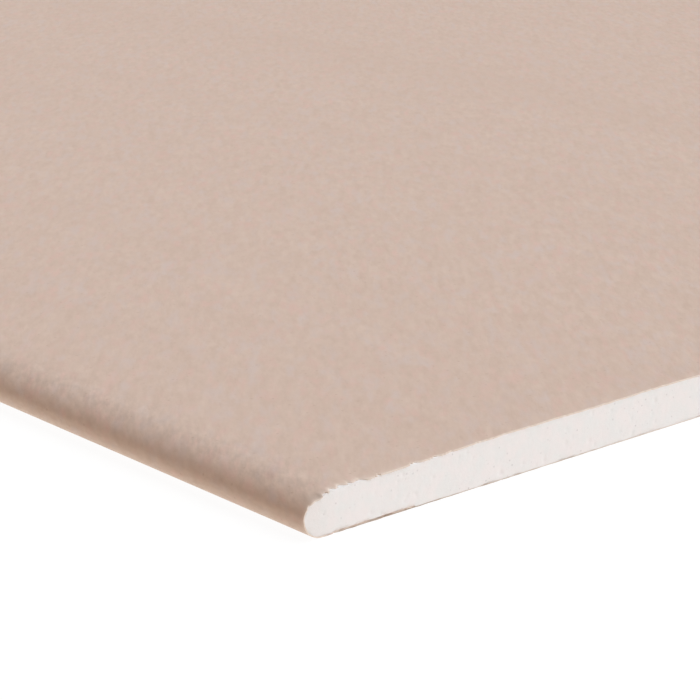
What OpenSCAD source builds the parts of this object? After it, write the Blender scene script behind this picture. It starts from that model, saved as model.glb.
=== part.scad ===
// Drywall sheet: a gypsum core between a face paper, which wraps both long edges, and a back paper.
// It lies face up. X runs across its width, Y along its length, and Z up from the middle of its back.

/* [Sheet] */
// Width across the two paper-wrapped long edges
sheet_w = 1200; // [600:50:1250]
// Length between the two sawn ends
sheet_l = 2400; // [1200:100:3600]
// Thickness over both papers, away from the long edges
sheet_t = 12.5; // [9.5:0.5:18]

/* [Long edges] */
// How far in from a long edge the flat face ends and its slope begins
taper_w = 65; // [40:5:80]
// How far the face has dropped where the slope meets the rounded nose
taper_d = 1; // [0.6:0.1:2.5]
// How far in from a long edge the nose is rounded on the face side
nose_face_w = 10; // [6:0.5:14]
// How far in from a long edge the nose is rounded on the back side
nose_back_w = 6; // [5:0.5:8]

/* [Paper] */
// Thickness of the face paper
face_paper_t = 0.35; // [0.2:0.05:0.6]
// Thickness of the back paper
back_paper_t = 0.3; // [0.2:0.05:0.6]
// Distance from a long edge to the edge of the back paper
back_margin = 10; // [9:1:30]
// Width of face paper that is tucked in above the back paper
lap_w = 26; // [10:1:40]

/* [Hidden] */

gypsum_colour = [0.92, 0.90, 0.89];
face_colour = [0.80, 0.72, 0.67];
back_colour = [0.68, 0.61, 0.55];

// Flat steps in each quarter of a nose
quarter_steps = 24;

half_w = sheet_w / 2;
// Height of the nose's outermost line, at half the height of the nose
tip_h = (sheet_t - taper_d) / 2;

// The slope is tangent to the nose's face quarter. The end of the slope at the flat face, seen from the
// middle of that quarter's oval and in its half widths and half heights, gives the angle where it starts.
slope_end = [(taper_w - nose_face_w) / nose_face_w, (sheet_t - tip_h) / tip_h];
slope_start = atan2(slope_end[0], slope_end[1]) + asin(1 / norm(slope_end));
slope = atan2(tip_h * cos(slope_start), nose_face_w * sin(slope_start));

// Where the folded face paper steps up over the edge of the back paper, and where it ends
step_w = back_margin - face_paper_t;
lap_end = back_margin + lap_w;
lap_h = back_paper_t + face_paper_t;

// The nose is half an oval, whose back and face quarters are equally high but reach in by different widths.
// Points are [distance in from the long edge, height above the back], and angles run from -90 at the
// back over 0 at the tip to 90 at the face.
function unit(vector) = vector / norm(vector);
function outwards(reach, angle) = unit([-tip_h * cos(angle), reach * sin(angle)]);
function nose_point(reach, angle, depth) =
    [reach * (1 - cos(angle)), tip_h * (1 + sin(angle))] - depth * outwards(reach, angle);

// Points of a quarter after its first, which is where the stretch before it ends
function quarter(reach, from, to, depth) =
    [for (i = [1 : quarter_steps]) nose_point(reach, from + (to - from) * i / quarter_steps, depth)];

// Outline of a long edge, a depth inside the sheet's own: from the flat of its back, round the nose
// and up the slope to the flat of its face
function long_edge(depth) = concat(
    [[nose_back_w, depth]],
    quarter(nose_back_w, -90, 0, depth),
    quarter(nose_face_w, 0, slope_start, depth),
    [[taper_w + depth * tan(slope / 2), sheet_t - depth]]
);

// Both sides of the folded face paper, from its end on the back to the flat of the face
function paper_outside() = concat(
    [[lap_end, back_paper_t], [back_margin, back_paper_t], [back_margin, 0]],
    long_edge(0)
);
function paper_inside() = concat(
    [[lap_end, lap_h], [step_w, lap_h], [step_w, face_paper_t]],
    long_edge(face_paper_t)
);

function reversed(points) = [for (i = [len(points) - 1 : -1 : 0]) points[i]];

// An outline across the whole sheet, from one of its long edges given outwards from the middle
function across(edge) = concat(
    [for (p = edge) [p[0] - half_w, p[1]]],
    [for (p = reversed(edge)) [half_w - p[0], p[1]]]
);

module along_sheet() {
    rotate([90, 0, 0]) linear_extrude(sheet_l, center = true) children();
}

module gypsum_core() {
    color(gypsum_colour) along_sheet()
        polygon(across(concat([[lap_end, back_paper_t]], paper_inside())));
}

module face_paper() {
    color(face_colour) along_sheet()
        polygon(concat(across(paper_outside()), reversed(across(paper_inside()))));
}

module back_paper() {
    color(back_colour) along_sheet()
        translate([back_margin - half_w, 0]) square([sheet_w - 2 * back_margin, back_paper_t]);
}

gypsum_core();
face_paper();
back_paper();
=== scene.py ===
"""Looks of the drywall sheet: its sawn gypsum ends, its papers with their cut edges, and a white studio.

All sizes are in metres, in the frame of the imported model: X across the sheet, Y along it, Z up.
"""

import math
from typing import NamedTuple

import bpy
import numpy as np
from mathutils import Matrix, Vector


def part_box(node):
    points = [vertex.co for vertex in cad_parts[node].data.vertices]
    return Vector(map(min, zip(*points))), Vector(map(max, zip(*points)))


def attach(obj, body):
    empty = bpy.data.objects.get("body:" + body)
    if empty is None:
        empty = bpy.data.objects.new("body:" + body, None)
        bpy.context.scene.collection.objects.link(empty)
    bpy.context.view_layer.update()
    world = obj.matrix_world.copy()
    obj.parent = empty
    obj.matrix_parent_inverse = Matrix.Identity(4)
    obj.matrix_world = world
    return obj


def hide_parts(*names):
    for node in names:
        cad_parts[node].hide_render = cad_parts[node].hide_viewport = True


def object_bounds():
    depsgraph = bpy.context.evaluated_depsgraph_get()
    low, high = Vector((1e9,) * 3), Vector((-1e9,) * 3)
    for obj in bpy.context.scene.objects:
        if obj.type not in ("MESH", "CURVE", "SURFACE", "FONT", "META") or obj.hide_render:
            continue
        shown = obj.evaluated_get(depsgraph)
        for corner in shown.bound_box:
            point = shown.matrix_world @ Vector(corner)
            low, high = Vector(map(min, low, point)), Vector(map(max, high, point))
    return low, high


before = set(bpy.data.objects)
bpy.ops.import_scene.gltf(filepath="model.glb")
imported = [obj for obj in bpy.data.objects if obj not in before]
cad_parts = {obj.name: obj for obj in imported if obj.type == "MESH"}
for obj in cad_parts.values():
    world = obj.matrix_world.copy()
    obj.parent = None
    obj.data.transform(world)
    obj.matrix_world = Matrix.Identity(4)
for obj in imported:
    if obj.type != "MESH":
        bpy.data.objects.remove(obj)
cad_low, cad_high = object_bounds()

MM = 0.001
NEAR, FAR = -1, 1


class Ripple(NamedTuple):
    """A random relief: the seed of its draw, how long its features are, and how deep or strong it is.

    Where only what rises above a level counts, the lift says how far the relief is raised first.
    """

    seed: int
    period: float
    strength: float
    lift: float = 0.0


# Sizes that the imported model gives
CORE_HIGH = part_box("gypsum_core")[1]
BACK_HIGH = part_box("back_paper")[1]
HALF_W = cad_high.x
HALF_L = cad_high.y
SHEET_T = cad_high.z
FACE_PAPER_T = HALF_W - CORE_HIGH.x
BACK_PAPER_T = BACK_HIGH.z
BACK_MARGIN = HALF_W - BACK_HIGH.x

# Sizes of the long edges, as in the part's source
TAPER_W = 65 * MM
TAPER_D = 1 * MM
NOSE_FACE_W = 10 * MM
NOSE_BACK_W = 6 * MM
LAP_W = 26 * MM
LAP_END = BACK_MARGIN + LAP_W
TIP_H = (SHEET_T - TAPER_D) / 2

# The folded paper bends up over the back paper's edge within this width
STEP_RUN = 1.2 * MM

# Steps in each quarter of a nose
QUARTER_STEPS = 32

# The saw presses the upper edge of the ends in a little, here more and there less
PRESS = Ripple(seed=17, period=7 * MM, strength=0.1 * MM)

# Wear of the sawn ends: how far in from a long edge it reaches, and nicks in the upper edge
WORN_W = 36 * MM
NICKS = Ripple(seed=11, period=2.2 * MM, strength=0.15 * MM, lift=0.2)
NICK_REACH = 1.6 * MM

# The left corner of the near end has been knocked, which has left a dent
DENT_U = 5.4 * MM
DENT_HALF_W = 1.4 * MM
DENT_DEPTH = 0.4 * MM


# Outline of the sheet's section, as points [distance in from the long edge, height]

def nose_quarter(reach, angle, depth):
    """Points of a quarter of the nose's oval. Angles run from the back, over 0 at the tip, to the face."""
    points = np.stack([reach * (1 - np.cos(angle)), TIP_H * (1 + np.sin(angle))], axis=1)
    outwards = np.stack([-TIP_H * np.cos(angle), reach * np.sin(angle)], axis=1)
    return points - depth * outwards / np.linalg.norm(outwards, axis=1)[:, None]


def slope_start():
    """Angle on the nose's oval where the face's taper begins, which is tangent to it."""
    run = (TAPER_W - NOSE_FACE_W) / NOSE_FACE_W
    rise = (SHEET_T - TIP_H) / TIP_H
    return math.atan2(run, rise) + math.asin(1 / math.hypot(run, rise))


def slope_angle():
    """Angle between the taper and the flat face."""
    start = slope_start()
    return math.atan2(TIP_H * math.cos(start), NOSE_FACE_W * math.sin(start))


def nose(depth):
    """Outline of the nose a depth inside the sheet's own, from the flat of the back to the taper."""
    back = np.linspace(-math.pi / 2, 0, QUARTER_STEPS + 1)
    face = np.linspace(0, slope_start(), QUARTER_STEPS + 1)[1:]
    return np.concatenate([nose_quarter(NOSE_BACK_W, back, depth), nose_quarter(NOSE_FACE_W, face, depth)])


def crease(depth):
    """Where the taper meets the flat face, a depth inside the sheet's own outline."""
    return np.array([TAPER_W + depth * math.tan(slope_angle() / 2), SHEET_T - depth])


def smooth(t):
    """From 0 to 1 as t does, with no kink at either."""
    t = np.clip(t, 0, 1)
    return t * t * (3 - 2 * t)


def fold_height(u):
    """Height of the under side of the folded face paper, which rises over the edge of the back paper."""
    return BACK_PAPER_T * smooth((u - BACK_MARGIN + STEP_RUN) / STEP_RUN)


def spaced(start, stop, step):
    """Even steps of about the given size from start to stop."""
    return np.linspace(start, stop, max(2, int(round(abs(stop - start) / step)) + 1))


def graded(start, stop, first_step, last_step):
    """Places after start, up to stop, with steps that grow evenly."""
    count = int(round(2 * (stop - start) / (first_step + last_step)))
    steps = np.linspace(first_step, last_step, count)
    return start + np.cumsum(steps) * (stop - start) / steps.sum()


# Random relief and wear

def wave(ripple, s, end=0):
    """A smooth random curve from -1 to 1, at distances s from 0 up. Each end has its own."""
    t = s / ripple.period
    i = t.astype(int)
    knots = np.random.default_rng(ripple.seed + end).uniform(-1, 1, i.max() + 2)
    return knots[i] + (knots[i + 1] - knots[i]) * smooth(t - i)


def relief(ripple, x, y, end=0):
    """The same over a plane, at places x, y from 0 up."""
    i, j = (x / ripple.period).astype(int), (y / ripple.period).astype(int)
    s, t = smooth(x / ripple.period - i), smooth(y / ripple.period - j)
    knots = np.random.default_rng(ripple.seed + end).uniform(-1, 1, (i.max() + 2, j.max() + 2))
    low = knots[i, j] * (1 - s) + knots[i + 1, j] * s
    high = knots[i, j + 1] * (1 - s) + knots[i + 1, j + 1] * s
    return low * (1 - t) + high * t


def varied(ripple, s):
    """A share that is 1 at the most, and at random less by up to twice the ripple's strength."""
    return 1 - ripple.strength + ripple.strength * wave(ripple, s)


def hump(distance, half_width):
    """1 at no distance, falling to 0 within about twice the half width."""
    return np.exp(-(distance / half_width) ** 2)


def pressed_in(x, end):
    """How far a sawn end's upper edge is pressed in, with nicks near its corners and the one dent."""
    u = HALF_W - np.abs(x)
    sawn = PRESS.strength * (1 + wave(PRESS, x + HALF_W, end))
    nicks = NICKS.strength * np.clip(wave(NICKS, x + HALF_W, end) + NICKS.lift, 0, 1)
    depth = (sawn + nicks * hump(u, WORN_W)) * smooth(u / DENT_U)
    if end == NEAR:
        depth += DENT_DEPTH * hump(u - DENT_U, DENT_HALF_W) * (x < 0)
    return depth


# Meshes

def make_piece(name, vertices, faces, material, sharp_angle):
    """A new object of the scene, smooth apart from edges sharper than an angle."""
    mesh = bpy.data.meshes.new(name)
    mesh.from_pydata([tuple(v) for v in vertices], [], faces)
    mesh.shade_smooth()
    mesh.set_sharp_from_angle(angle=sharp_angle)
    mesh.materials.append(material)
    piece = bpy.data.objects.new(name, mesh)
    bpy.context.scene.collection.objects.link(piece)
    return piece


def set_share(piece, name, values):
    """A number from 0 to 1 at each vertex, which the material reads by its name."""
    piece.data.attributes.new(name, "FLOAT", "POINT").data.foreach_set("value", values)


def numbered_grids(*shapes):
    """Numbers of the vertices of grids, given as rows and columns, that are stored one after another."""
    grids = []
    first = 0
    for rows, columns in shapes:
        grids.append(first + np.arange(rows * columns).reshape(rows, columns))
        first += rows * columns
    return grids


def grid_faces(grid):
    """Quads between the rows and columns of a grid of vertex numbers."""
    corners = (grid[:-1, :-1], grid[:-1, 1:], grid[1:, 1:], grid[1:, :-1])
    return np.stack(corners, axis=-1).reshape(-1, 4).tolist()


def strip_faces(one, other, one_at, other_at):
    """Triangles between two rows of vertices that run the same way, by each vertex's place along its row."""
    faces = []
    i = j = 0
    while i + 1 < len(one) or j + 1 < len(other):
        if j + 1 == len(other) or (i + 1 < len(one) and one_at[i + 1] <= other_at[j + 1]):
            faces.append((one[i], one[i + 1], other[j]))
            i += 1
        else:
            faces.append((one[i], other[j + 1], other[j]))
            j += 1
    return faces


# The gypsum core

CORE_ROWS = 30
CORE_SHARP = math.radians(50)
# Columns of an end: on each nose, close together up to a distance from the long edge, and wider in the middle
NOSE_COLUMNS = 16
NOSE_COLUMNS_W = 6 * MM
# The first column stands this angle in from the tip of the nose
FIRST_COLUMN = 0.06
CLOSE_COLUMN, WIDE_COLUMN = 0.4 * MM, 3 * MM
CLOSE_COLUMNS_W = 125 * MM
# Behind the broken edges of each end, the core's outline is whole again
RING_IN = 8 * MM

# Roughness of a sawn end, and crumbs broken from its edges
SAW_BACK = 0.14 * MM
SWELL = Ripple(seed=31, period=8 * MM, strength=0.05 * MM)
GRAIN = Ripple(seed=41, period=2 * MM, strength=0.02 * MM)
CRUMBS = Ripple(seed=51, period=3.4 * MM, strength=0.2 * MM, lift=0.3)
CRUMB_REACH = 0.45 * MM

# Air bubbles that the saw has opened: the area for each, their sizes, and their depth as a share of the size
PIT_SEED = 61
PIT_AREA = 30 * MM * MM
PIT_SIZE, PIT_SPREAD = 0.4 * MM, 0.3
PIT_SMALLEST, PIT_LARGEST = 0.3 * MM, 0.8 * MM
PIT_DEPTH = 0.35

# Dirt at the corners, dust with painted shade along the lowest edge, and clots of dust with painted shade
# just above it
CORNER_DIRT, CORNER_DIRT_W = 0.4, 8 * MM
EDGE_DUST_AND_SHADE = Ripple(seed=121, period=2.5 * MM, strength=0.4)
EDGE_DUST_AND_SHADE_LOST, EDGE_DUST_AND_SHADE_W = 0.8, 120 * MM
CLOTS_AND_SHADE = Ripple(seed=123, period=2.2 * MM, strength=2)
CLOTS_AND_SHADE_W = 40 * MM


def core_columns():
    """Places across a sawn end: close together on the noses, wider apart towards the middle."""
    angle = np.linspace(FIRST_COLUMN, math.pi / 2, NOSE_COLUMNS)
    on_nose = FACE_PAPER_T + NOSE_COLUMNS_W * (1 - np.cos(angle))
    fine = spaced(on_nose[-1], CLOSE_COLUMNS_W, CLOSE_COLUMN)[1:]
    coarse = graded(fine[-1], HALF_W, CLOSE_COLUMN, WIDE_COLUMN)
    u = np.concatenate([on_nose, fine, coarse])
    return np.concatenate([u - HALF_W, (HALF_W - u[:-1])[::-1]])


def core_heights(x):
    """Lowest and highest points of the core's outline at places across the sheet."""
    outline = nose(FACE_PAPER_T)
    tip = int(np.argmin(outline[:, 0]))
    back = outline[tip::-1]
    face = np.concatenate([outline[tip:], [crease(FACE_PAPER_T), (HALF_W, SHEET_T - FACE_PAPER_T)]])
    u = HALF_W - np.abs(x)
    low = np.interp(u, back[:, 0], back[:, 1])
    low = np.where(u > NOSE_BACK_W, fold_height(u) + FACE_PAPER_T, low)
    low = np.where(u > LAP_END, BACK_PAPER_T, low)
    return low, np.interp(u, face[:, 0], face[:, 1])


def core_grid(x, low, high):
    """Rows of points from the lowest to the highest, across the sheet."""
    t = np.linspace(0, 1, CORE_ROWS)[:, None]
    z = low + (high - low) * t
    return np.broadcast_to(x, z.shape), z


def air_pits(x, z, seed):
    """Depth of the larger air bubbles that the saw has opened, at a grid of points."""
    rng = np.random.default_rng(seed)
    depth = np.zeros_like(z)
    across = x[0]
    count = int(2 * HALF_W * SHEET_T / PIT_AREA)
    for px, pz, size in zip(
        rng.uniform(-HALF_W, HALF_W, count),
        rng.uniform(0, SHEET_T, count),
        np.clip(rng.lognormal(math.log(PIT_SIZE), PIT_SPREAD, count), PIT_SMALLEST, PIT_LARGEST),
    ):
        near = slice(*np.searchsorted(across, [px - 2 * size, px + 2 * size]))
        away = np.hypot(x[:, near] - px, z[:, near] - pz)
        depth[:, near] = np.maximum(depth[:, near], PIT_DEPTH * size * hump(away, size))
    return depth


def sawn_end(x, end):
    """Points of a sawn end: a little rough, pitted, and crumbled along its edges."""
    low, high = core_heights(x)
    gx, z = core_grid(x, low, high - pressed_in(x, end))
    from_edge = np.minimum(z - z[0], z[-1] - z)
    # The roughness is laid out along two slanting directions, so that no line of it runs up or across
    s, t = HALF_W + gx + z, HALF_W - gx + z
    recess = SAW_BACK + SWELL.strength * relief(SWELL, s, t, end)
    recess += GRAIN.strength * relief(GRAIN, s, t, end)
    crumbs = np.clip(relief(CRUMBS, s, t, end) + CRUMBS.lift, 0, 1)
    recess += CRUMBS.strength * crumbs * hump(from_edge, CRUMB_REACH)
    recess += air_pits(gx, z, PIT_SEED + end)
    return np.stack([gx, end * (HALF_L - recess), z], axis=2)


def rim(grid):
    """The outermost points of a grid, once round."""
    return np.concatenate([grid[0], grid[1:, -1], grid[-1, -2::-1], grid[-2:0:-1, 0]])


def core_darkening(x, row):
    """How much the core is darkened at vertices: by dust and painted shade in its two lowest rows, and by
    dirt near the corners.
    """
    u, along = HALF_W - np.abs(x), HALF_W + x
    # The two lowest rows are darkened by dust and by painted shade of the crumbled lower edge
    dust = (1 - EDGE_DUST_AND_SHADE_LOST * smooth(u / EDGE_DUST_AND_SHADE_W)) * varied(EDGE_DUST_AND_SHADE, along)
    clots = np.clip(CLOTS_AND_SHADE.strength * wave(CLOTS_AND_SHADE, along), 0, 1) * hump(u, CLOTS_AND_SHADE_W)
    lowest = np.select([row == 0, row == 1], [dust, clots], 0.0)
    return np.maximum(CORNER_DIRT * hump(u, CORNER_DIRT_W), lowest)


def make_core(material):
    """The core, a closed solid between its two sawn ends."""
    x = core_columns()
    whole_x, whole_z = core_grid(x, *core_heights(x))
    vertices = [sawn_end(x, end).reshape(-1, 3) for end in (NEAR, FAR)]
    ring_x, ring_z = rim(whole_x), rim(whole_z)
    for end in (NEAR, FAR):
        ring_y = np.full(len(ring_x), end * (HALF_L - RING_IN))
        vertices.append(np.column_stack([ring_x, ring_y, ring_z]))
    vertices = np.concatenate(vertices)

    end_shape, ring_shape = (CORE_ROWS, len(x)), (1, len(ring_x))
    near, far, near_ring, far_ring = numbered_grids(end_shape, end_shape, ring_shape, ring_shape)
    wall = np.stack([rim(far), far_ring[0], near_ring[0], rim(near)])
    once_round = np.column_stack([wall, wall[:, 0]])
    faces = grid_faces(near) + grid_faces(far[::-1]) + grid_faces(once_round)
    piece = make_piece("sawn_gypsum_core", vertices, faces, material, CORE_SHARP)

    end_rows = np.repeat(np.arange(CORE_ROWS), len(x))
    no_row = np.full(2 * len(ring_x), -1)
    row = np.concatenate([end_rows, end_rows, no_row])
    set_share(piece, "darkened", core_darkening(vertices[:, 0], row))
    return piece


# A paper is a row of columns across the sheet, each with a point on its outer and on its inner side.
# In the fringe at each end every column has its own vertices, and between the fringes only the main ones do.

FRINGE = np.array([0.0, 0.12, 0.45, 1.0, 2.0, 3.5, 6.0, 9.0]) * MM
# Within this distance the ragged line of the cut fades into straight rows
CUT_FADE = 3 * MM
# A torn edge of paper thins out within about this distance
THIN_REACH = 0.8 * MM
# Rows of the bonded side, from the cut to where nothing presses it in
BONDED = np.array([0.0, 0.25, 8.0]) * MM
EDGE_ROUNDING = 0.05 * MM
# The fresh cut shows this far in from the edge
CUT_REACH = 0.2 * MM
PAPER_SHARP = math.radians(40)
# Step between the columns of both papers, away from the long edges
WIDE_STEP = 1.3 * MM


def paper_vertices(outer, inner, main, ends, body_y, body_dip):
    """Vertices of a paper: the near and the far fringe, the rows between them, and both bonded sides."""
    inward = inner - outer
    inward /= np.linalg.norm(inward, axis=1)[:, None]

    def row(points, y):
        return np.column_stack([points[:, 0], np.broadcast_to(y, len(points)), points[:, 1]])

    vertices = []
    for end, (cut, thinned, dip) in zip((NEAR, FAR), ends):
        for from_end in FRINGE:
            rounding = EDGE_ROUNDING if from_end == 0 else 0.0
            sunk = dip(from_end) + thinned * np.exp(-from_end / THIN_REACH) + rounding
            y = end * (HALF_L - from_end - cut * np.exp(-from_end / CUT_FADE))
            vertices.append(row(outer + inward * sunk[:, None], y))
    for y, dip in zip(body_y, body_dip):
        vertices.append(row(outer[main] + inward[main] * dip[:, None], y))
    for end, (cut, _, dip) in zip((NEAR, FAR), ends):
        for from_cut in BONDED:
            points = inner + inward * dip(from_cut)[:, None]
            vertices.append(row(points, end * (HALF_L - cut - from_cut)))
    return np.concatenate(vertices)


def paper_faces(columns, main, body_rows, y):
    """Faces between the vertices of a paper, which lie at the places y along the sheet."""
    fringe_shape, bond_shape = (len(FRINGE), len(columns)), (len(BONDED), len(columns))
    near, far, body, near_bond, far_bond = numbered_grids(
        fringe_shape, fringe_shape, (body_rows, len(main)), bond_shape, bond_shape,
    )
    bonded = np.concatenate([near_bond, far_bond[::-1]])

    faces = grid_faces(near) + grid_faces(body) + grid_faces(far[::-1])
    faces += strip_faces(near[-1], body[0], columns, main)
    faces += strip_faces(body[-1], far[-1], main, columns)
    # Over the far cut, back along the bonded side and over the near cut
    faces += grid_faces(np.concatenate([far[:1], bonded[::-1], near[:1]]))
    # The paper's own long edges, between their outer and inner lines
    edges = [0, -1]
    outer = np.concatenate([near[:, edges], body[:, edges], far[::-1, edges]])
    inner = bonded[:, edges]
    for one, other in ((outer[:, 0], inner[:, 0]), (inner[:, 1], outer[:, 1])):
        faces += strip_faces(one, other, y[one], y[other])
    return faces


def make_paper(outer, inner, main, ends, body_y, body_dip):
    """A paper as one closed mesh: vertices and faces, and each vertex's column and distance from a cut end.

    Each of the two ends is how far each column is cut back, how much thinner it is there, and a function that
    gives how far it is pressed in at a distance from the end. body_dip is that for the rows at body_y.
    """
    columns = np.arange(len(outer))
    vertices = paper_vertices(outer, inner, main, ends, body_y, body_dip)
    faces = paper_faces(columns, main, len(body_y), vertices[:, 1])
    column = np.concatenate([
        np.tile(columns, 2 * len(FRINGE)), np.tile(main, len(body_y)), np.tile(columns, 2 * len(BONDED)),
    ])
    fringe = np.repeat(FRINGE, len(columns))
    body = np.full(len(body_y) * len(main), HALF_L)
    bonded = np.zeros(2 * len(BONDED) * len(columns))
    return vertices, faces, column, np.concatenate([fringe, fringe, body, bonded])


# The face paper

# Steps between columns: on the folded flap, from it to the nose, on the slope, and on the face next to it
FLAP_STEP, FOLD_STEP, SLOPE_STEP, CLOSE_STEP = 0.45 * MM, 0.25 * MM, 0.3 * MM, 0.6 * MM
# The columns of the face lie close together up to this distance from a long edge
CLOSE_W = 130 * MM
# Main columns on each slope and on each half of the flat face
SLOPE_MAIN, FLAT_MAIN = 6, 8
# Rows between the fringes: how far in the first and the last lie, and about how far apart they are
FACE_BODY_IN, FACE_BODY_STEP = 14 * MM, 9 * MM
# Along the long edges the paper is a little wavy
LONG_WAVES = Ripple(seed=77, period=34 * MM, strength=0.0125 * MM)

# Wear counts as on the face from this height up, and fully once it has risen by a share of the thickness
FACE_FROM, FACE_RISE = 0.4 * SHEET_T, 0.3 * SHEET_T
# The cut is ragged everywhere, more so under the fold, and frayed where it is worn
CUT_BACK = 0.04 * MM
RAGGED_BACK = 0.2 * MM
FOLD_BACK, FOLD_FADE = 0.25 * MM, 2 * MM
FRAY_BACK = 1.8 * MM
TEETH = (
    Ripple(seed=71, period=3.1 * MM, strength=0.5),
    Ripple(seed=75, period=1.1 * MM, strength=0.6),
    Ripple(seed=79, period=0.6 * MM, strength=0.4),
)
TEETH_LIFT = 0.1
# Further in than the dent, a stretch of the paper is torn back
TORN_FROM, TORN_TO = 8 * MM, 21 * MM
TORN_FROM_FADE, TORN_TO_FADE = 1.5 * MM, 3 * MM
TORN_BACK = 2 * MM
TEAR = Ripple(seed=81, period=1.7 * MM, strength=0.38)
# Worn and torn paper is thinner, and the cut edge curls in
WORN_THIN, TORN_THIN = 0.1 * MM, 0.15 * MM
CURL = Ripple(seed=91, period=3.3 * MM, strength=0.01 * MM)
WORN_CURL = 0.03 * MM

# Darkening round the dent, fluff of the cut under the fold and round the nose, and marks of hands with
# painted shade on the shoulder
DENT_DARK_W, DENT_DARK_REACH = 0.6 * DENT_U, 2.2 * MM
FLUFF = Ripple(seed=95, period=1.7 * MM, strength=0.9, lift=0.2)
NOSE_FLUFF_W, NOSE_FLUFF_FADE = 9 * MM, 3 * MM
HANDLED_AND_SHADED_U, HANDLED_AND_SHADED_W = 6 * MM, 6 * MM
# How pale the cut is rubbed, and how far in: round the nose, where it is frayed, and next to where it is
# torn, where the paleness also paints light over the shade of the torn edge
NOSE_RUB, NOSE_RUB_W, NOSE_RUB_REACH = 0.4, 8 * MM, 0.9 * MM
FRAY_RUB, FRAY_RUB_FADE, FRAY_RUB_REACH = 0.5, 3 * MM, 0.8 * MM
TORN_RUB_AND_LIGHT, TORN_RUB_REACH = 0.3, 2.5 * MM
TORN_RUB_TO, TORN_RUB_FROM_FADE, TORN_RUB_TO_FADE = TORN_TO + 2 * MM, 2 * MM, 4 * MM

# Fibres that stand out from the cut
FIBRE_SEED = 101
FIBRES_PER_END = 600
FIBRE_SIDES = 3
FIBRE_RINGS = 4
FIBRE_LENGTH = 0.3 * MM, 0.9 * MM
FIBRE_RADIUS = 0.03 * MM, 0.07 * MM
# How far they reach each way and bend, and how much thinner their tips are, as shares
FIBRE_OUTWARD = 0.3, 0.9
FIBRE_SIDEWAYS, FIBRE_DOWN = 0.5, 0.3
FIBRE_BEND, FIBRE_DROOP = 0.2, 0.5
FIBRE_TAPER = 0.6
# They start inside the paper, at a share of its thickness, and their tips stay inside the sheet's length
FIBRE_ROOT, FIBRE_DEPTH = 0.1 * MM, 0.7
FIBRE_TIP_ROOM = 0.04 * MM
# Some are everywhere on the face's cut but at the tip of the nose, and most where it is worn
FIBRES_EVERYWHERE, FIBRES_FROM_U = 0.03, 3 * MM


def face_paper_half():
    """Outer and inner points of half the face paper, from its folded edge to the middle of the face."""
    flap = spaced(LAP_END, BACK_MARGIN, FLAP_STEP)[:-1]
    step = spaced(BACK_MARGIN, NOSE_BACK_W, FOLD_STEP)[:-1]
    under = np.concatenate([flap, step])
    slope = spaced(0, 1, SLOPE_STEP / TAPER_W)[1:, None]
    close = spaced(TAPER_W, CLOSE_W, CLOSE_STEP)[1:]
    flat = np.concatenate([close, spaced(CLOSE_W, HALF_W, WIDE_STEP)[1:]])
    sides = []
    for depth in (0.0, FACE_PAPER_T):
        curve = nose(depth)
        sides.append(np.concatenate([
            np.column_stack([under, fold_height(under) + depth]),
            curve,
            curve[-1] + (crease(depth) - curve[-1]) * slope,
            np.column_stack([flat, np.full(len(flat), SHEET_T - depth)]),
        ]))
    nose_end = len(under) + len(curve) - 1
    slope_end = nose_end + len(slope)
    main = [
        *(0, len(flap) // 2, len(flap)),
        *range(len(flap) + 2, len(under), 2),
        *range(len(under), nose_end, 2),
        *np.linspace(nose_end, slope_end, SLOPE_MAIN + 1).astype(int)[:-1],
        *np.linspace(slope_end, slope_end + len(flat), FLAT_MAIN + 1).astype(int),
    ]
    return sides[0], sides[1], main


def mirrored(half):
    """A half's columns, given in from the left edge, and the same from the right, joined in the middle."""
    left = half - [HALF_W, 0]
    right = (half * [-1, 1] + [HALF_W, 0])[-2::-1]
    return np.concatenate([left, right])


class FaceColumns:
    """The columns of the face paper, and how much of each kind of wear there is at each."""

    def __init__(self):
        half_outer, half_inner, half_main = face_paper_half()
        self.outer, self.inner = mirrored(half_outer), mirrored(half_inner)
        last = len(self.outer) - 1
        self.main = half_main + [last - k for k in half_main[-2::-1]]
        steps = np.linalg.norm(np.diff(self.outer, axis=0), axis=1)
        self.run = np.concatenate([[0], np.cumsum(steps)])
        self.x, z = self.outer.T
        self.u = HALF_W - np.abs(self.x)
        self.on_face = smooth((z - FACE_FROM) / FACE_RISE)
        self.on_left_face = self.on_face * (self.x < 0)
        self.worn = hump(self.u, WORN_W) * self.on_face * smooth(self.u / DENT_U)
        self.torn = self.stretch(TORN_FROM, TORN_FROM_FADE, TORN_TO, TORN_TO_FADE) * self.on_left_face
        self.folded = smooth((self.u - BACK_MARGIN) / FOLD_FADE) * (1 - self.on_face)

    def stretch(self, start, start_fade, stop, stop_fade):
        """1 between two distances in from a long edge, fading to 0 at both."""
        return smooth((self.u - start) / start_fade) * smooth((stop - self.u) / stop_fade)


def face_cut_end(c, end):
    """How the columns of the face paper are cut at an end, in the form that make_paper takes."""
    teeth = np.clip(TEETH_LIFT + sum(t.strength * wave(t, c.run, end) for t in TEETH), 0, 1)
    cut = CUT_BACK + (RAGGED_BACK + FRAY_BACK * c.worn + FOLD_BACK * c.folded) * teeth
    thinned = WORN_THIN * c.worn
    if end == NEAR:
        cut += TORN_BACK * c.torn * varied(TEAR, c.run)
        thinned += TORN_THIN * c.torn
    curl = (CURL.strength + WORN_CURL * c.worn) * (1 + wave(CURL, c.run, end))
    nicks = pressed_in(c.x, end) * c.on_face

    def dip(from_end):
        return curl * np.exp(-from_end / NICK_REACH) + nicks * hump(from_end, NICK_REACH)

    return cut, thinned, dip


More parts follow.
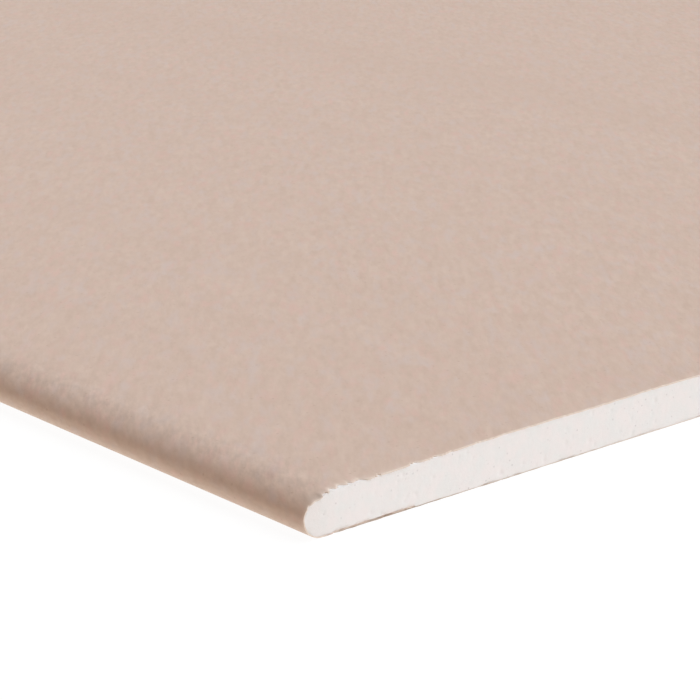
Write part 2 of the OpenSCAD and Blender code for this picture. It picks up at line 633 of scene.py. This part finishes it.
def face_shares(c, column, from_end, near):
    """How much the face paper is darkened round the dent at each vertex, and how much of its pale cut shows
    there, which next to the torn stretch is partly painted light.
    """
    # Round the dent and near the cut, the paper is made darker
    dent_dark = hump(c.u - DENT_U, DENT_DARK_W) * c.on_left_face
    darkened = dent_dark[column] * near * hump(from_end, DENT_DARK_REACH)
    # The folded edge under the sheet shows pale fibres only in places
    fluff = FLUFF.strength * np.clip(wave(FLUFF, c.run) + FLUFF.lift, 0, 1)
    round_nose = smooth((NOSE_FLUFF_W - c.u) / NOSE_FLUFF_FADE)
    fluffed = np.maximum(np.maximum(c.on_face, fluff), round_nose)
    frayed = c.worn * smooth((c.u - DENT_U) / FRAY_RUB_FADE)
    # Next to the torn stretch the paper is scuffed pale, and painted lighter over the shade of the set-back
    # torn edge
    scuffed_and_lit = c.stretch(DENT_U, TORN_RUB_FROM_FADE, TORN_RUB_TO, TORN_RUB_TO_FADE) * c.on_left_face
    rubbed = NOSE_RUB * hump(c.u, NOSE_RUB_W)[column] * hump(from_end, NOSE_RUB_REACH)
    rubbed += FRAY_RUB * frayed[column] * hump(from_end, FRAY_RUB_REACH)
    rubbed += TORN_RUB_AND_LIGHT * scuffed_and_lit[column] * near * hump(from_end, TORN_RUB_REACH)
    return darkened, np.maximum(hump(from_end, CUT_REACH), rubbed) * fluffed[column]


def fibre(start, heading, droop, length, radius):
    """Points of a short paper fibre, ring by ring. It starts along its heading and bends with its droop."""
    t = np.linspace(0, 1, FIBRE_RINGS)[:, None]
    path = start + length * (heading * t + droop * t * t)
    across = np.cross(heading, (0, 0, 1))
    across /= np.linalg.norm(across)
    other = np.cross(heading, across) / np.linalg.norm(heading)
    angle = np.linspace(0, 2 * math.pi, FIBRE_SIDES, endpoint=False)[:, None]
    ring = np.cos(angle) * across + np.sin(angle) * other
    thin = radius * (1 - FIBRE_TAPER * t)
    return (path[:, None] + thin[:, None] * ring).reshape(-1, 3)


def fibre_faces(first):
    """Faces of a fibre as a closed tube, from the number of its first vertex."""
    rings = first + np.arange(FIBRE_RINGS * FIBRE_SIDES).reshape(FIBRE_RINGS, FIBRE_SIDES)
    sides = grid_faces(np.column_stack([rings, rings[:, 0]]))
    return sides + [rings[0, ::-1].tolist(), rings[-1].tolist()]


def torn_fibres(edge, room, end, weight, count, seed):
    """Points of fibres that stand out from a paper's cut edge, as far as there is room, and hang down."""
    rng = np.random.default_rng(seed)
    fibres = []
    for column in rng.choice(len(edge), count, p=weight / weight.sum()):
        length = rng.uniform(*FIBRE_LENGTH)
        outward = min(rng.uniform(*FIBRE_OUTWARD), room[column] / length)
        sideways = rng.uniform(-FIBRE_SIDEWAYS, FIBRE_SIDEWAYS)
        heading = np.array([sideways, end * outward, rng.uniform(-FIBRE_DOWN, 0.0)])
        droop = np.array([rng.uniform(-FIBRE_BEND, FIBRE_BEND), 0.0, rng.uniform(-FIBRE_DROOP, 0.0)])
        fibres.append(fibre(edge[column], heading, droop, length, rng.uniform(*FIBRE_RADIUS)))
    return fibres


def face_fibres(c, ends):
    """Points of the fibres along both cuts of the face paper."""
    x, z = ((1 - FIBRE_DEPTH) * c.outer + FIBRE_DEPTH * c.inner).T
    weight = (FIBRES_EVERYWHERE + c.worn) * c.on_face * (c.u > FIBRES_FROM_U)
    fibres = []
    for end, (cut, _, dip) in zip((NEAR, FAR), ends):
        edge = np.column_stack([x, end * (HALF_L - cut - FIBRE_ROOT), z - dip(0.0)])
        room = cut + FIBRE_ROOT - FIBRE_TIP_ROOM
        fibres += torn_fibres(edge, room, end, weight, FIBRES_PER_END, FIBRE_SEED + end)
    return fibres


def make_face_paper(material):
    """The face paper with its frayed cut ends and their fibres."""
    c = FaceColumns()
    ends = [face_cut_end(c, end) for end in (NEAR, FAR)]
    body_y = spaced(-HALF_L + FACE_BODY_IN, HALF_L - FACE_BODY_IN, FACE_BODY_STEP)
    s, t = np.meshgrid(body_y + HALF_L, c.run[c.main], indexing="ij")
    body_dip = LONG_WAVES.strength * (1 + relief(LONG_WAVES, s, t)) * hump(c.u[c.main], NOSE_FACE_W)
    vertices, faces, column, from_end = make_paper(c.outer, c.inner, c.main, ends, body_y, body_dip)
    darkened, cut = face_shares(c, column, from_end, near=vertices[:, 1] < 0)

    fibres = face_fibres(c, ends)
    for k in range(len(fibres)):
        faces += fibre_faces(len(vertices) + k * FIBRE_RINGS * FIBRE_SIDES)
    vertices = np.concatenate([vertices, *fibres])
    on_fibres = np.ones(len(vertices) - len(column))
    piece = make_piece("wrapped_face_paper", vertices, faces, material, PAPER_SHARP)
    # Marks of hands on the nose's shoulder, which also paint the shoulder's shade darker
    set_share(piece, "handled_and_shaded", hump(HALF_W - np.abs(vertices[:, 0]) - HANDLED_AND_SHADED_U, HANDLED_AND_SHADED_W))
    set_share(piece, "cut", np.append(cut, on_fibres))
    set_share(piece, "darkened", np.append(darkened, 0 * on_fibres))
    return piece


# The back paper

# Its columns lie close together near the long edges, and few main columns and rows lie between its fringes
BACK_CLOSE_STEP, BACK_CLOSE_W = 0.5 * MM, 2 * LAP_W
BACK_MAIN = 25
BACK_BODY_IN, BACK_BODY_STEP = 40 * MM, 60 * MM
# Its cut is ragged everywhere, and more so near its long edges
BACK_CUT_BACK = 0.05 * MM
BACK_RAGGED = Ripple(seed=111, period=2 * MM, strength=0.05 * MM)
BACK_WORN, BACK_WORN_W = 0.125 * MM, 2 * WORN_W
# Dust stays on the cut away from the corners, more of it in some places
BACK_DUST, BACK_DUST_FADE = 1.2, 90 * MM
BACK_DUST_PATCHES = (
    Ripple(seed=131, period=2 * MM, strength=0.6),
    Ripple(seed=133, period=9 * MM, strength=0.2),
)


def make_back_paper(material):
    """The back paper, which is slit straight along its long edges and frayed a little at its cut ends."""
    edge = HALF_W - BACK_MARGIN
    close = spaced(edge, edge - BACK_CLOSE_W, BACK_CLOSE_STEP)
    x = np.concatenate([close, spaced(close[-1], -close[-1], WIDE_STEP)[1:-1], -close[::-1]])
    flat = np.zeros(len(x))
    outer = np.column_stack([x, flat])
    inner = np.column_stack([x, flat + BACK_PAPER_T])
    main = np.linspace(0, len(x) - 1, BACK_MAIN).astype(int)

    def cut_end(end):
        ragged = BACK_RAGGED.strength + BACK_WORN * hump(edge - np.abs(x), BACK_WORN_W)
        cut = BACK_CUT_BACK + ragged * (1 + wave(BACK_RAGGED, x + HALF_W, end))
        return cut, flat, lambda from_end: flat

    body_y = spaced(-HALF_L + BACK_BODY_IN, HALF_L - BACK_BODY_IN, BACK_BODY_STEP)
    body_dip = np.zeros((len(body_y), len(main)))
    ends = [cut_end(NEAR), cut_end(FAR)]
    vertices, faces, _, from_end = make_paper(outer, inner, main, ends, body_y, body_dip)
    piece = make_piece("lapped_back_paper", vertices, faces, material, PAPER_SHARP)

    u, along = HALF_W - np.abs(vertices[:, 0]), HALF_W + vertices[:, 0]
    dust = BACK_DUST * np.clip((u - LAP_END) / BACK_DUST_FADE, 0, 1)
    dust += sum(p.strength * wave(p, along) for p in BACK_DUST_PATCHES)
    set_share(piece, "cut", hump(from_end, CUT_REACH) * np.clip(dust, 0, 1))
    return piece


# Materials

def srgb(red, green, blue):
    """A colour written as 0 to 255 sRGB, as linear light."""
    channels = [c / 255 for c in (red, green, blue)]
    return [c / 12.92 if c <= 0.04045 else ((c + 0.055) / 1.055) ** 2.4 for c in channels] + [1.0]


class Graph:
    """The nodes of a material or a world, with short calls for those that are used most."""

    def __init__(self, owner):
        owner.use_nodes = True
        self.tree = owner.node_tree

    def add(self, kind, **settings):
        node = self.tree.nodes.new(kind)
        for key, value in settings.items():
            setattr(node, key, value)
        return node

    def link(self, source, target):
        self.tree.links.new(source, target)

    def feed(self, socket, value):
        """Set an input to a number or a colour, or link it to another node's output."""
        if isinstance(value, bpy.types.NodeSocket):
            self.link(value, socket)
        else:
            socket.default_value = value

    def place(self, scale=(1, 1, 1), turn=0.0):
        """Object coordinates, turned about Z and stretched by a scale."""
        mapping = self.add("ShaderNodeMapping", vector_type="TEXTURE")
        mapping.inputs["Rotation"].default_value = (0, 0, turn)
        mapping.inputs["Scale"].default_value = scale
        self.link(self.add("ShaderNodeTexCoord").outputs["Object"], mapping.inputs["Vector"])
        return mapping.outputs["Vector"]

    def noise(self, size, detail=2.0, roughness=0.5, seed=0, stretch=(1, 1, 1), turn=0.0):
        """Noise from 0 to 1, with features about a size across. Each seed gives another pattern."""
        node = self.add("ShaderNodeTexNoise", noise_dimensions="4D")
        node.inputs["W"].default_value = seed
        node.inputs["Scale"].default_value = 1 / size
        node.inputs["Detail"].default_value = detail
        node.inputs["Roughness"].default_value = roughness
        self.link(self.place(stretch, turn), node.inputs["Vector"])
        return node.outputs["Fac"]

    def patches(self, size, low, high, bottom=0.0, top=1.0, **noise):
        """Soft patches about a size across: a noise between low and high, spread from bottom to top."""
        return self.ramp(self.noise(size, **noise), low, high, bottom, top)

    def specks(self, spacing, radius, share):
        """Soft round specks about a spacing apart: the given share in each, and 0 between them."""
        node = self.add("ShaderNodeTexVoronoi")
        node.inputs["Scale"].default_value = 1 / spacing
        self.link(self.place(), node.inputs["Vector"])
        return self.ramp(node.outputs["Distance"], 0.5 * radius / spacing, radius / spacing, share, 0)

    def attribute(self, name):
        return self.add("ShaderNodeAttribute", attribute_name=name).outputs["Fac"]

    def ramp(self, value, low, high, bottom=0.0, top=1.0):
        """The value between low and high, spread from bottom to top."""
        node = self.add("ShaderNodeMapRange", clamp=True)
        for name, number in (("From Min", low), ("From Max", high), ("To Min", bottom), ("To Max", top)):
            node.inputs[name].default_value = number
        self.link(value, node.inputs["Value"])
        return node.outputs["Result"]

    def math(self, operation, a, b):
        node = self.add("ShaderNodeMath", operation=operation)
        self.feed(node.inputs[0], a)
        self.feed(node.inputs[1], b)
        return node.outputs["Value"]

    def mix(self, share, a, b):
        """Colour a, and b where the share is 1."""
        node = self.add("ShaderNodeMix", data_type="RGBA")
        # Its colour sockets share their names with others, so they go by number
        self.feed(node.inputs["Factor"], share)
        self.feed(node.inputs[6], a)
        self.feed(node.inputs[7], b)
        return node.outputs[2]

    def finish(self, colour, roughness, specular, height, height_scale):
        """Link a colour and a bump to the material's shader."""
        shader = self.tree.nodes["Principled BSDF"]
        self.link(colour, shader.inputs["Base Color"])
        shader.inputs["Roughness"].default_value = roughness
        shader.inputs["Specular IOR Level"].default_value = specular
        bump = self.add("ShaderNodeBump")
        bump.inputs["Distance"].default_value = height_scale
        self.link(height, bump.inputs["Height"])
        self.link(bump.outputs["Normal"], shader.inputs["Normal"])
        return shader


# Flocs of the paper are drawn out at a slant, streaks run along the sheet, and fibres lie in three directions
FLOCS = dict(stretch=(1, 3, 1), turn=-0.7)
STREAKS = dict(stretch=(1, 25, 1))
FIBRE_TURNS = 0.35, -0.5, 1.3
FIBRE_STRETCH = 0.5, 5, 1

# Colours that go on the papers: a darker tone round the dent, marks of hands that also paint shade, and
# gypsum dust
DENT_DARKENING = srgb(128, 118, 110)
HAND_MARKS_AND_SHADE = srgb(158, 140, 129)
GYPSUM_DUST = srgb(234, 228, 223)
# The cut edge of a paper never covers its colour wholly
CUT_COVER = 0.85

# The tooth of the paper is fine, with broader flocs that stand out more
PAPER_TOOTH = 0.025 * MM
FLOC_HEIGHT = 6.0
PAPER_ROUGHNESS, PAPER_SPECULAR, PAPER_SHEEN = 0.92, 0.2, 0.2


def paper_material(name, dark, light, pink, grey, fleck, cut):
    """Recycled paper: light and dark, pinkish and greyish mottle, flecks, and dust on its cut edges."""
    material = bpy.data.materials.new(name)
    g = Graph(material)
    colour = g.mix(g.patches(2.2 * MM, 0.3, 0.7, seed=1, **FLOCS), dark, light)
    colour = g.mix(g.patches(2.8 * MM, 0.5, 0.72, 0, 0.7, seed=2, **FLOCS), colour, pink)
    colour = g.mix(g.patches(3.2 * MM, 0.5, 0.72, 0, 0.75, seed=3, **FLOCS), colour, grey)
    clouds = g.patches(14 * MM, 0.4, 0.7, 0, 0.4, detail=3, roughness=0.6, seed=4)
    streaks = g.patches(30 * MM, 0.35, 0.7, 0, 0.4, detail=3, roughness=0.55, seed=5, **STREAKS)
    colour = g.mix(g.math("MAXIMUM", clouds, streaks), colour, dark)
    colour = g.mix(g.specks(4 * MM, 0.45 * MM, 0.4), colour, fleck)
    for turn in FIBRE_TURNS:
        fibres = g.patches(1 * MM, 0.68, 0.8, 0, 0.2, detail=1, stretch=FIBRE_STRETCH, turn=turn)
        colour = g.mix(fibres, colour, fleck)
    blotches = g.patches(2.5 * MM, 0.3, 0.6, 0.1, 0.4, detail=3, roughness=0.6, seed=6)
    # Darker in blotches round the dent
    colour = g.mix(g.math("MULTIPLY", g.attribute("darkened"), blotches), colour, DENT_DARKENING)
    # Marks of hands, which also paint shade on the nose's shoulder
    marks = g.patches(1.6 * MM, 0.36, 0.72, 0, 0.4, seed=8, **FLOCS)
    colour = g.mix(g.math("MULTIPLY", g.attribute("handled_and_shaded"), marks), colour, HAND_MARKS_AND_SHADE)
    dusty_cut = g.mix(g.patches(2.5 * MM, 0.45, 0.65, 0, 0.5, roughness=0.6, seed=7), cut, GYPSUM_DUST)
    colour = g.mix(g.math("MULTIPLY", g.attribute("cut"), CUT_COVER), colour, dusty_cut)
    flocs = g.math("MULTIPLY", g.noise(2.4 * MM, **FLOCS), FLOC_HEIGHT)
    tooth = g.math("ADD", g.noise(0.7 * MM), flocs)
    shader = g.finish(colour, PAPER_ROUGHNESS, PAPER_SPECULAR, tooth, PAPER_TOOTH)
    shader.inputs["Sheen Weight"].default_value = PAPER_SHEEN
    return material


# Colours of the gypsum, of dirt on it with painted shade along its lowest edge, and of painted shade in the
# mouths of its bubbles
GYPSUM_GREY = srgb(231, 229, 228)
GYPSUM_PINK = srgb(235, 229, 228)
GYPSUM_GRAIN = srgb(226, 219, 218)
GYPSUM_DIRT_AND_SHADE = srgb(212, 201, 194)
BUBBLE_SHADE = srgb(188, 180, 181)
DIRT_AND_SHADE_COVER = 0.5

GYPSUM_ROUGHNESS, GYPSUM_SPECULAR = 0.95, 0.15
GYPSUM_TOOTH = 0.05 * MM


def gypsum_material():
    """Sawn gypsum: off-white with a faint pink and grey mottle, and painted shade in the mouths of small air
    bubbles.
    """
    material = bpy.data.materials.new("gypsum")
    g = Graph(material)
    mottle = g.patches(5 * MM, 0.38, 0.62, detail=3, roughness=0.55)
    colour = g.mix(mottle, GYPSUM_GREY, GYPSUM_PINK)
    grain = g.patches(0.8 * MM, 0.5, 0.75, 0, 0.3, detail=3, roughness=0.6)
    colour = g.mix(grain, colour, GYPSUM_GRAIN)
    # Dirt at the corners, and dust with painted shade along the lowest edge
    colour = g.mix(g.math("MULTIPLY", g.attribute("darkened"), DIRT_AND_SHADE_COVER), colour, GYPSUM_DIRT_AND_SHADE)
    faint = g.patches(4 * MM, 0.35, 0.65, 0.1, 0.5, seed=2)
    # Dark specks are painted shade for the mouths of small air bubbles
    bubble_shade = g.math("MULTIPLY", g.specks(2.2 * MM, 0.33 * MM, 1.0), faint)
    colour = g.mix(bubble_shade, colour, BUBBLE_SHADE)
    tooth = g.noise(0.5 * MM, detail=4, roughness=0.65)
    g.finish(colour, GYPSUM_ROUGHNESS, GYPSUM_SPECULAR, tooth, GYPSUM_TOOTH)
    return material


# Stage

FLOOR_REACH = 60.0
FLOOR_DROP = 0.2 * MM
# The camera sees the floor as this share of glow and a little real shading, white where no shadow falls
FLOOR_GLOW = 0.94
FLOOR_SHADING = 0.08

# Light from the white floor, and from the dim room above it, which meet in a narrow band at the horizon
GROUND_LIGHT = (1.13, 1.065, 0.98, 1)
ROOM_LIGHT = (0.2, 0.07, 0.005, 1)
HORIZON = 0.02
WHITE = (1, 1, 1, 1)

# The camera of the photograph, placed from the left corner of the near end
CAMERA_FROM_CORNER = Vector((-0.3416, -0.4090, 0.2133))
CAMERA_HEADING = math.radians(41.055)
CAMERA_PITCH = math.radians(17.209)
CAMERA_LENS = 123.48
CAMERA_SENSOR_W = 36
CAMERA_CLIP = 0.01


def background_share(g):
    """1 for rays that show the background itself, and 0 for those that light the object."""
    path = g.add("ShaderNodeLightPath")
    seen = g.math("MAXIMUM", path.outputs["Is Camera Ray"], path.outputs["Is Glossy Ray"])
    return g.math("MAXIMUM", seen, path.outputs["Is Transmission Ray"])


def make_floor():
    """The floor as seen from above: white, with a faint shadow. Its light on the sheet is the world's."""
    mesh = bpy.data.meshes.new("floor")
    r = FLOOR_REACH
    mesh.from_pydata([(-r, -r, 0), (r, -r, 0), (r, r, 0), (-r, r, 0)], [], [(0, 1, 2, 3)])
    material = bpy.data.materials.new("floor")
    g = Graph(material)
    g.tree.nodes.remove(g.tree.nodes["Principled BSDF"])
    shading = g.add("ShaderNodeBsdfDiffuse")
    shading.inputs["Color"].default_value = (FLOOR_SHADING, FLOOR_SHADING, FLOOR_SHADING, 1)
    glow = g.add("ShaderNodeEmission")
    glow.inputs["Strength"].default_value = FLOOR_GLOW
    white = g.add("ShaderNodeAddShader")
    g.link(shading.outputs[0], white.inputs[0])
    g.link(glow.outputs[0], white.inputs[1])
    # From below it is clear, and shows the sheet's back
    sides = g.add("ShaderNodeMixShader")
    g.link(g.add("ShaderNodeNewGeometry").outputs["Backfacing"], sides.inputs[0])
    g.link(white.outputs[0], sides.inputs[1])
    g.link(g.add("ShaderNodeBsdfTransparent").outputs[0], sides.inputs[2])
    g.link(sides.outputs[0], g.tree.nodes["Material Output"].inputs["Surface"])
    mesh.materials.append(material)
    floor = bpy.data.objects.new("floor", mesh)
    floor.location.z = -FLOOR_DROP
    floor.visible_diffuse = False
    floor.visible_shadow = False
    bpy.context.scene.collection.objects.link(floor)


def make_world():
    """White to look at. It lights the sheet from below as a white floor does, and dimly from above."""
    world = bpy.data.worlds.new("studio")
    bpy.context.scene.world = world
    g = Graph(world)
    direction = g.add("ShaderNodeSeparateXYZ")
    g.link(g.add("ShaderNodeTexCoord").outputs["Generated"], direction.inputs[0])
    light = g.mix(g.ramp(direction.outputs["Z"], -HORIZON, HORIZON), GROUND_LIGHT, ROOM_LIGHT)
    g.link(g.mix(background_share(g), light, WHITE), g.tree.nodes["Background"].inputs["Color"])


def add_sun(name, towards, level, spread):
    """A soft lamp far away. At a level of 1 it alone shows a facing surface's colour as written."""
    lamp = bpy.data.lights.new(name, "SUN")
    lamp.energy = math.pi
    lamp.color = level
    lamp.angle = spread
    sun = bpy.data.objects.new(name, lamp)
    sun.rotation_mode = "QUATERNION"
    sun.rotation_quaternion = Vector(towards).to_track_quat("Z", "Y")
    bpy.context.scene.collection.objects.link(sun)


def add_camera():
    """The camera of the photograph, in front of the left corner of the near end."""
    corner = Vector((-HALF_W, -HALF_L, 0))
    ahead = Vector((
        math.sin(CAMERA_HEADING) * math.cos(CAMERA_PITCH),
        math.cos(CAMERA_HEADING) * math.cos(CAMERA_PITCH),
        -math.sin(CAMERA_PITCH),
    ))
    data = bpy.data.cameras.new("camera")
    data.sensor_width = CAMERA_SENSOR_W
    data.lens = CAMERA_LENS
    data.clip_start = CAMERA_CLIP
    camera = bpy.data.objects.new("camera", data)
    camera.location = corner + CAMERA_FROM_CORNER
    camera.rotation_mode = "QUATERNION"
    camera.rotation_quaternion = ahead.to_track_quat("-Z", "Y")
    bpy.context.scene.collection.objects.link(camera)
    bpy.context.scene.camera = camera


add_camera()
make_floor()
make_world()
add_sun("overhead", towards=(0.46, -0.15, 1), level=(0.80, 0.90, 0.945), spread=math.radians(80))
add_sun("front", towards=(0.35, -0.85, 0.42), level=(0.21, 0.27, 0.32), spread=math.radians(40))
bpy.context.scene.view_settings.view_transform = "Standard"

face_paper = paper_material(
    "face_paper",
    dark=srgb(197, 174, 159), light=srgb(208, 187, 173), pink=srgb(210, 177, 166), grey=srgb(202, 186, 180),
    fleck=srgb(176, 146, 130), cut=srgb(228, 212, 199),
)
back_paper = paper_material(
    "back_paper",
    dark=srgb(166, 147, 130), light=srgb(188, 170, 152), pink=srgb(186, 158, 140), grey=srgb(172, 160, 149),
    fleck=srgb(140, 118, 100), cut=srgb(222, 209, 199),
)
for piece, node, slot in (
    (make_core(gypsum_material()), "gypsum_core", "gypsum"),
    (make_face_paper(face_paper), "face_paper", "face_paper"),
    (make_back_paper(back_paper), "back_paper", "back_paper"),
):
    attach(piece, "root")
    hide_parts(node)
